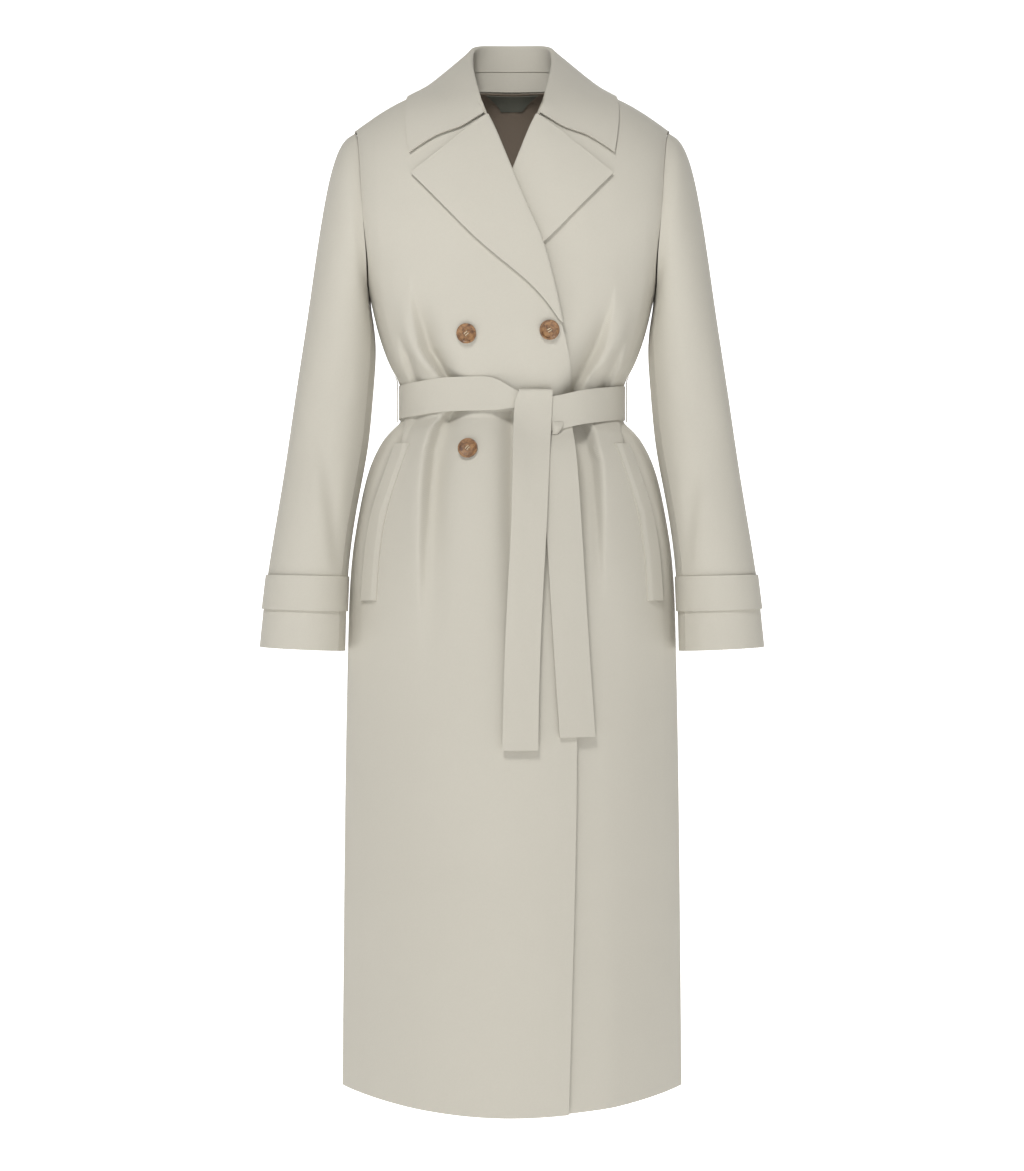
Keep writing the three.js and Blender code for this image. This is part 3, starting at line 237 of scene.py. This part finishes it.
def press_trim(points):
    """Moves the points of what lies on the body for the body's creases."""
    front = smoothstep(0.0, SIDE_BLEND, -points[:, 1])
    amount = pressed(FRONT_CREASES, points[:, 0], points[:, 2]) * front
    behind = smoothstep(0.0, SIDE_BLEND, points[:, 1])
    amount += pressed(BACK_CREASES, points[:, 0], points[:, 2]) * behind
    return points + outwards(points) * amount[:, None]


def press_body(points):
    """Moves the points of a body panel for its creases and behind its pockets."""
    front = smoothstep(0.0, SIDE_BLEND, -points[:, 1])
    behind = pressed(POCKET_EDGES, points[:, 0], points[:, 2]) * front
    return press_trim(points) + outwards(points) * behind[:, None]


def quads_of(name, title):
    """A cloth piece from its solid: welded, in quads again, with its cut edges creased."""
    mesh = nodes[name].data.copy()
    mesh.materials.clear()
    piece = bpy.data.objects.new(title, mesh)
    bpy.context.scene.collection.objects.link(piece)
    only(piece)
    work = bmesh.new()
    work.from_mesh(mesh)
    bmesh.ops.remove_doubles(work, verts=work.verts, dist=WELD)
    for edge in work.edges:
        edge.smooth = not (len(edge.link_faces) == 2 and edge.calc_face_angle(0.0) > RIM_ANGLE)
    work.to_mesh(mesh)
    work.free()
    bpy.ops.object.mode_set(mode="EDIT")
    bpy.ops.mesh.select_all(action="SELECT")
    bpy.ops.mesh.tris_convert_to_quads(face_threshold=math.pi, shape_threshold=math.pi, sharp=True)
    bpy.ops.object.mode_set(mode="OBJECT")
    creases = mesh.attributes.new("crease_edge", "FLOAT", "EDGE")
    for edge in mesh.edges:
        creases.data[edge.index].value = 1.0 if edge.use_edge_sharp else 0.0
    corners = mesh.attributes.new("crease_vert", "FLOAT", "POINT")
    for spot in mesh.vertices:
        if spot.co.z > SHOULDER_CORNER["above"] and abs(spot.co.x) > SHOULDER_CORNER["beyond"]:
            corners.data[spot.index].value = SHOULDER_CORNER["crease"]
    return piece


def smoothed(piece, levels):
    """Subdivides a piece into a smooth fine surface."""
    fine = piece.modifiers.new("fine", "SUBSURF")
    fine.levels = levels
    fine.render_levels = levels
    bpy.ops.object.modifier_apply(modifier="fine")


def moved_by(piece, press):
    """Moves all of a piece's points at once by a function of where they are."""
    mesh = piece.data
    flat = np.empty(len(mesh.vertices) * 3)
    mesh.vertices.foreach_get("co", flat)
    mesh.vertices.foreach_set("co", press(flat.reshape(-1, 3)).ravel())
    mesh.update()


def laid_out(piece, lay):
    """Gives the piece a UV map in metres, across the cloth and along it, for its weave."""
    mesh = piece.data
    flat = np.empty(len(mesh.vertices) * 3)
    mesh.vertices.foreach_get("co", flat)
    spots = lay(flat.reshape(-1, 3))
    corner = np.empty(len(mesh.loops), dtype=np.int32)
    mesh.loops.foreach_get("vertex_index", corner)
    chart = mesh.uv_layers.new(name="weave")
    chart.data.foreach_set("uv", spots[corner].ravel())
    mesh.uv_layers.active = chart


BODY_ROUND = {"radius": 0.19, "offset": 0.02}


def lay_body(points):
    """Across is the way round the body from its front or back middle, along is the height."""
    turn = np.arctan2(points[:, 0], np.abs(points[:, 1]) + BODY_ROUND["offset"])
    return np.stack([turn * BODY_ROUND["radius"], points[:, 2]], axis=1)


class Yarn:
    """One output socket of a material; sums and products of it become Math nodes."""

    def __init__(self, tree, socket=None):
        self.tree = tree
        self.socket = socket

    def node(self, kind, settings, sockets, output=0):
        """Adds a node with its settings and socket values, and returns one of its outputs."""
        made = self.tree.nodes.new(kind)
        for name, value in settings.items():
            if name == "stops":
                for count, (place, colour) in enumerate(value):
                    stops = made.color_ramp.elements
                    stop = stops[count] if count < 2 else stops.new(place)
                    stop.position = place
                    stop.color = (*colour, 1.0)
            else:
                setattr(made, name, value)
        for name, value in sockets.items():
            if isinstance(value, Yarn):
                self.tree.links.new(value.socket, made.inputs[name])
            else:
                made.inputs[name].default_value = value
        return Yarn(self.tree, made.outputs[output])

    def maths(self, operation, first, second=0.0):
        """One Math node of one or two values."""
        return self.node("ShaderNodeMath", {"operation": operation}, {0: first, 1: second})

    def __add__(self, other):
        return self.maths("ADD", self, other)

    def __sub__(self, other):
        return self.maths("SUBTRACT", self, other)

    def __mul__(self, other):
        return self.maths("MULTIPLY", self, other)

    def into(self, socket):
        """Leads this output to a socket of the shader."""
        self.tree.links.new(self.socket, socket)


def finish_named(name, roughness, sheen=0.0, coat=0.0):
    """A new material with its plain values set, its shader and a first thread to pull nodes from."""
    made = bpy.data.materials.new(name)
    made.use_nodes = True
    shader = made.node_tree.nodes["Principled BSDF"]
    shader.inputs["Roughness"].default_value = roughness
    shader.inputs["Sheen Weight"].default_value = sheen
    shader.inputs["Coat Weight"].default_value = coat
    return made, shader, Yarn(made.node_tree)


def mixed(yarn, share, first, second):
    """Blends two colours by a share from 0 to 1."""
    return yarn.node("ShaderNodeMix", {"data_type": "RGBA"}, {0: share, 6: first, 7: second}, 2)


WEAVE = {
    "sheen": 0.08, "drift": 5.0, "slub": 420.0, "lean": 0.9, "across": 0.45, "cross": 1.7,
    "rib": 0.7, "step": 0.15, "knots": 0.5, "plain": 0.72, "slub_tone_and_twill_shade": 0.10, "gloss": 0.12, "bump": 0.6,
}
OBJECT_COORDS = 3


def clouds(yarn, place, scale, detail, rough):
    """Soft noise through the cloth at one scale."""
    return yarn.node("ShaderNodeTexNoise", {}, {
        "Vector": place, "Scale": scale, "Detail": detail, "Roughness": rough,
    })


def gabardine(name, colours, twill):
    """Steep twill: fine diagonal ribs on the cloth's own map, slubs in the yarn, soft tonal drift,
    painted shade in the twill's hollows.
    """
    made, shader, yarn = finish_named(name, twill["roughness"], sheen=WEAVE["sheen"])
    chart = yarn.node("ShaderNodeUVMap", {"uv_map": "weave"}, {})
    across = yarn.node("ShaderNodeSeparateXYZ", {}, {0: chart})
    along = Yarn(across.tree, across.socket.node.outputs[1])
    place = yarn.node("ShaderNodeTexCoord", {}, {}, OBJECT_COORDS)
    drift = clouds(yarn, place, WEAVE["drift"], 3.0, 0.5)
    slub = clouds(yarn, place, WEAVE["slub"], 2.0, 0.6)
    turns = 2 * math.pi / twill["pitch"]
    rib = yarn.maths("SINE", (across * WEAVE["lean"] + along * WEAVE["across"]) * turns) * 0.5 + 0.5
    crossing = (across * WEAVE["across"] - along * WEAVE["lean"]) * (turns * WEAVE["cross"])
    step = yarn.maths("SINE", crossing) * 0.5 + 0.5
    height = rib * WEAVE["rib"] + step * WEAVE["step"] + slub * WEAVE["knots"]
    base = mixed(yarn, drift, (*colours["deep"], 1.0), (*colours["pale"], 1.0))
    tone = mixed(yarn, WEAVE["plain"], base, (*colours["mid"], 1.0))
    # Painted shade: the colour darkens where the twill's ribs and steps dip, and changes at random with
    # the slubs.
    slub_tone_and_twill_shade = height * WEAVE["slub_tone_and_twill_shade"] + (1 - WEAVE["slub_tone_and_twill_shade"])
    shade = yarn.node(
        "ShaderNodeMix", {"data_type": "RGBA", "blend_type": "MULTIPLY"}, {0: 1.0, 6: tone, 7: slub_tone_and_twill_shade}, 2,
    )
    shade.into(shader.inputs["Base Color"])
    gloss = slub * WEAVE["gloss"] + (twill["roughness"] - WEAVE["gloss"] / 2)
    gloss.into(shader.inputs["Roughness"])
    bump = yarn.node("ShaderNodeBump", {}, {
        "Strength": WEAVE["bump"], "Distance": twill["depth"], "Height": height,
    })
    bump.into(shader.inputs["Normal"])
    return made


cloth = gabardine("stone_gabardine", CLOTH, TWILL)


def dressed(node, title, levels, press, lay, finish):
    """Makes the cloth piece that stands for a solid, from its welded form to its finish."""
    piece = quads_of(node, title)
    smoothed(piece, levels)
    if press:
        moved_by(piece, press)
    laid_out(piece, lay)
    only(piece)
    bpy.ops.object.shade_smooth_by_angle(angle=SOFT_ANGLE)
    piece.data.materials.append(finish)
    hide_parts(node)
    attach(piece, "root")
    return piece


back = dressed("back", "back_panel", 2, press_body, lay_body, cloth)
for side in ("right", "left"):
    front = dressed("front_" + side, "front_panel_" + side, 3, press_body, lay_body, cloth)

# The two lapels. Each is the front's own facing turned back over the chest at the roll, pressed
# and edge-turned, so it has a clean thick edge.
for side in ("right", "left"):
    lapel = dressed("lapel_" + side, "lapel_cloth_" + side, 3, press_trim, lay_body, cloth)

# The collar. A fall that turns down over a stand, both from the body's cloth, the stand with its
# inner face showing round the neck.
collar = dressed("collar_fall", "collar_cloth", 3, None, lay_body, cloth)
stand = dressed("collar_stand", "collar_stand_cloth", 2, None, lay_body, cloth)

# The lining where it shows in the neck, and the maker's tab, which is bare. Smooth taupe satin,
# and a narrow woven tape in dark grey-green.
LINING = {"mid": (0.245, 0.192, 0.145), "deep": (0.200, 0.155, 0.116), "pale": (0.290, 0.234, 0.182)}
TAPE = {"mid": (0.150, 0.152, 0.122), "deep": (0.124, 0.127, 0.101), "pale": (0.178, 0.181, 0.148)}
SATIN_WEAVE = {"pitch": 0.0006, "depth": 0.00005, "roughness": 0.5}
TAPE_WEAVE = {"pitch": 0.0008, "depth": 0.0001, "roughness": 0.7}
satin = gabardine("taupe_satin", LINING, SATIN_WEAVE)
tape = gabardine("label_tape", TAPE, TAPE_WEAVE)
lining = dressed("lining_back", "lining_cloth", 2, None, lay_body, satin)
label = dressed("neck_label", "neck_label_tab", 2, None, lay_body, tape)

# The sleeves. Two pieces each, set into the armhole with an eased cap and hanging down beside the
# body, with soft long troughs where the arm bends.
SLEEVE_AXIS = [(-0.07, 0.188), (-0.30, 0.207), (-0.52, 0.235), (-0.70, 0.252)]
SLEEVE_CREASES = [
    {"path": [(-0.238, -0.390), (-0.232, -0.440), (-0.224, -0.500), (-0.214, -0.560), (-0.206, -0.592)],
     "lip": -1, "deep": 0.0050, "wide": 0.020, "top": 0.55, "low": 0.10, "ridge": 0.5},
    {"path": [(-0.186, -0.330), (-0.200, -0.385), (-0.222, -0.430)],
     "lip": 1, "deep": 0.0022, "wide": 0.016, "top": 0.5, "low": 0.5, "ridge": 0.4},
    {"path": [(0.234, -0.400), (0.230, -0.450), (0.221, -0.510), (0.212, -0.565), (0.207, -0.592)],
     "lip": 1, "deep": 0.0044, "wide": 0.022, "top": 0.6, "low": 0.10, "ridge": 0.45},
    {"path": [(0.190, -0.350), (0.206, -0.395), (0.226, -0.425)],
     "lip": -1, "deep": 0.0018, "wide": 0.014, "top": 0.5, "low": 0.5, "ridge": 0.4},
]
ELBOW_CREASES = [
    {"path": [(-0.190, -0.300), (-0.215, -0.335), (-0.246, -0.350)],
     "lip": 1, "deep": 0.0030, "wide": 0.014, "top": 0.4, "low": 0.5, "ridge": 0.5},
    {"path": [(-0.196, -0.375), (-0.222, -0.400), (-0.252, -0.412)],
     "lip": 1, "deep": 0.0026, "wide": 0.014, "top": 0.4, "low": 0.5, "ridge": 0.5},
    {"path": [(0.192, -0.318), (0.218, -0.350), (0.250, -0.362)],
     "lip": -1, "deep": 0.0028, "wide": 0.015, "top": 0.4, "low": 0.5, "ridge": 0.5},
]
SLEEVE_STEP = 0.007
SLEEVE_BLEND = {"side": 0.004, "full": 0.03, "half": 0.048, "near": 0.010, "clear": 0.030}
SLEEVE_RADIUS = 0.06


def sleeve_centre(up):
    """How far out the middle of the sleeve is at each height."""
    path = np.array(SLEEVE_AXIS)[::-1]
    return np.interp(up, path[:, 0], path[:, 1])


def press_sleeve(points):
    """Moves the points of a sleeve piece for its troughs, those in front and those at the elbow."""
    x, y, z = points.T
    blend = SLEEVE_BLEND
    front = smoothstep(blend["side"], blend["full"], -y)
    elbow = smoothstep(blend["side"], blend["full"], y)
    moved = points.copy()
    moved[:, 1] -= pressed(SLEEVE_CREASES, x, z, SLEEVE_STEP) * front
    moved[:, 1] += pressed(ELBOW_CREASES, x, z, SLEEVE_STEP) * elbow
    from_edge = blend["half"] - np.abs(x - sleeve_centre(z) * np.sign(x))
    edge = smoothstep(blend["near"], blend["clear"], from_edge)
    return points + (moved - points) * edge[:, None]


def lay_sleeve(points):
    """Across is the way round the sleeve from its outer side, along is the height."""
    turn = np.arctan2(points[:, 1], np.abs(points[:, 0]) - sleeve_centre(points[:, 2]))
    return np.stack([turn * SLEEVE_RADIUS, points[:, 2]], axis=1)


def lay_sleeve_inner(points):
    """The same from the sleeve's inner side, so that the map's seam stays off the under piece."""
    turn = np.arctan2(points[:, 1], sleeve_centre(points[:, 2]) - np.abs(points[:, 0]))
    return np.stack([turn * SLEEVE_RADIUS, points[:, 2]], axis=1)


for side in ("right", "left"):
    top = dressed("sleeve_top_" + side, "sleeve_top_cloth_" + side, 3, press_sleeve, lay_sleeve, cloth)
    title = "sleeve_under_cloth_" + side
    under = dressed("sleeve_under_" + side, title, 3, press_sleeve, lay_sleeve_inner, cloth)

# The strap round each cuff, a plain band of the coat's cloth turned at both edges and sewn on.
for side in ("right", "left"):
    strap = dressed("cuff_strap_" + side, "cuff_strap_cloth_" + side, 2, None, lay_sleeve, cloth)

# The pocket welts, one curved strip at each side with its free edge outwards and the other sewn
# down flat.
WELT_SINK = {"from": 0.0065, "full": 0.0125, "deep": 0.0017}


def press_welt(points):
    """Follows the body's creases and lets the sewn edge down flush with the panel."""
    path = np.array(POCKET_EDGE)[::-1]
    free = np.interp(points[:, 2], path[:, 1], path[:, 0])
    sewn = smoothstep(WELT_SINK["from"], WELT_SINK["full"], free - np.abs(points[:, 0]))
    return press_trim(points) - outwards(points) * (sewn * WELT_SINK["deep"])[:, None]


for side in ("right", "left"):
    welt = dressed("pocket_welt_" + side, "pocket_welt_cloth_" + side, 3, press_welt, lay_body, cloth)

# The belt. One long turned strip of the coat's cloth, tied once at the front, with the loops that
# hold it at the side seams.
BELT_ENDS = [
    {"name": "belt_end_front", "flat": (0.05, 0.46), "area": 0.0196},
    {"name": "belt_end_behind", "flat": (0.045, 0.42), "area": 0.0174},
]
belt = dressed("belt_band", "belt_cloth", 3, None, lay_body, cloth)
for row in BELT_ENDS:
    end = dressed(row["name"], row["name"] + "_cloth", 3, None, lay_body, cloth)
knot = dressed("belt_knot", "belt_knot_cloth", 3, None, lay_body, cloth)
for side in ("right", "left"):
    dressed("belt_loop_" + side, "belt_loop_cord_" + side, 2, None, lay_body, cloth)

# The buttons. Turned horn with a raised rim and a dished middle, four holes and two cream
# stitches, mottled from olive gold to dark brown.
HORN = [
    (0.0, (0.018, 0.008, 0.004)),
    (0.35, (0.10, 0.042, 0.016)),
    (0.6, (0.30, 0.155, 0.062)),
    (1.0, (0.44, 0.27, 0.12)),
]
HORN_LOOK = {"roughness": 0.42, "coat": 0.08, "angle": math.radians(35)}
HORN_CLOUDS = {"Scale": 190.0, "Detail": 4.0, "Roughness": 0.6, "Distortion": 0.6}
THREAD = {"colour": (0.62, 0.50, 0.34, 1.0), "roughness": 0.7}
horn, horn_shader, yarn = finish_named("mottled_horn", HORN_LOOK["roughness"], coat=HORN_LOOK["coat"])
spot = yarn.node("ShaderNodeTexCoord", {}, {}, OBJECT_COORDS)
cloudy = yarn.node("ShaderNodeTexNoise", {}, {"Vector": spot, **HORN_CLOUDS})
tones = yarn.node("ShaderNodeValToRGB", {"stops": HORN}, {0: cloudy})
tones.into(horn_shader.inputs["Base Color"])
thread, thread_shader, _ = finish_named("cream_thread", THREAD["roughness"])
thread_shader.inputs["Base Color"].default_value = THREAD["colour"]
BUTTON = {
    "radius": 0.0118, "thick": 0.0029, "rim": 0.0019, "slope": 0.0011, "dish": 0.0009,
    "hole": 0.00085, "spread": 0.0018, "round": 0.0005,
}
FACING = {"top": 0.9, "front": -0.5}
STITCH = {"reach": 0.0023, "yarn": 0.00052, "apart": 0.72, "flat": 0.62}
BUTTON_TURNS = {
    "button_top_right": 40, "button_top_left": 28, "button_low_right": 45, "button_low_left": 35,
}


def picked(piece, test):
    """Goes into edit mode with just the faces chosen that pass the test."""
    only(piece)
    bpy.ops.object.mode_set(mode="EDIT")
    bpy.ops.mesh.select_mode(type="FACE")
    bpy.ops.mesh.select_all(action="DESELECT")
    bpy.ops.object.mode_set(mode="OBJECT")
    for face in piece.data.polygons:
        face.select = bool(test(face))
    bpy.ops.object.mode_set(mode="EDIT")


def horn_button(title):
    """One button, lying flat about the origin with its face up: rim, dish and four holes."""
    alone()
    bpy.ops.mesh.primitive_cylinder_add(vertices=48, radius=BUTTON["radius"], depth=BUTTON["thick"])
    piece = bpy.context.object
    piece.name = title
    picked(piece, lambda face: face.normal.z > FACING["top"])
    bpy.ops.mesh.inset(thickness=BUTTON["rim"])
    bpy.ops.mesh.inset(thickness=BUTTON["slope"])
    bpy.ops.transform.translate(value=(0, 0, -BUTTON["dish"]))
    bpy.ops.object.mode_set(mode="OBJECT")
    soft = piece.modifiers.new("soft", "BEVEL")
    soft.width = BUTTON["round"]
    soft.segments = 3
    soft.limit_method = "ANGLE"
    bpy.ops.object.modifier_apply(modifier="soft")
    for right, up in ((1, 1), (-1, 1), (-1, -1), (1, -1)):
        alone()
        bpy.ops.mesh.primitive_cylinder_add(
            vertices=14, radius=BUTTON["hole"], depth=2 * BUTTON["thick"],
            location=(right * BUTTON["spread"], up * BUTTON["spread"], 0),
        )
        drill = bpy.context.object
        only(piece)
        cut = piece.modifiers.new("hole", "BOOLEAN")
        cut.operation = "DIFFERENCE"
        cut.object = drill
        bpy.ops.object.modifier_apply(modifier="hole")
        bpy.data.objects.remove(drill)
    bpy.ops.object.shade_smooth_by_angle(angle=HORN_LOOK["angle"])
    piece.data.materials.clear()
    piece.data.materials.append(horn)
    return piece


def stitches(title):
    """Two parallel stitches over the button's holes, each a short arch of thread."""
    made = []
    dish = BUTTON["thick"] / 2 - BUTTON["dish"]
    for side in (-1, 1):
        alone()
        bpy.ops.mesh.primitive_torus_add(
            major_segments=32, minor_segments=10, major_radius=STITCH["reach"],
            minor_radius=STITCH["yarn"], rotation=(math.pi / 2, 0, 0),
            location=(0, side * BUTTON["spread"] * STITCH["apart"], dish),
        )
        made.append(bpy.context.object)
    alone()
    for piece in made:
        piece.select_set(True)
    bpy.context.view_layer.objects.active = made[0]
    bpy.ops.object.join()
    both = bpy.context.object
    both.name = title
    bpy.ops.object.transform_apply(location=True, rotation=True, scale=True)
    for spot in both.data.vertices:
        spot.co.z -= (spot.co.z - dish) * STITCH["flat"]
    bpy.ops.object.shade_smooth()
    both.data.materials.clear()
    both.data.materials.append(thread)
    return both


def seat_of(node):
    """Where a solid button sits: its middle, and the way that its face looks."""
    front = Vector((0, 0, 0))
    for face in nodes[node].data.polygons:
        if face.normal.y < FACING["front"]:
            front += face.normal * face.area
    low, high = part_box(node)
    middle = (Vector(low) + Vector(high)) / 2
    return middle, front.normalized()


for name, turn in BUTTON_TURNS.items():
    middle, face = seat_of(name)
    sideways = Vector((1, 0, 0)) - face * face.x
    sideways.normalize()
    upwards = face.cross(sideways)
    spin = Matrix.Rotation(math.radians(turn), 4, "Z")
    seat = Matrix((sideways, upwards, face)).transposed().to_4x4() @ spin
    for piece in (horn_button(name + "_horn"), stitches(name + "_stitches")):
        piece.data.transform(Matrix.Translation(middle) @ seat)
        piece.data.update()
        if piece.name.endswith("horn"):
            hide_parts(name)
        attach(piece, "root")
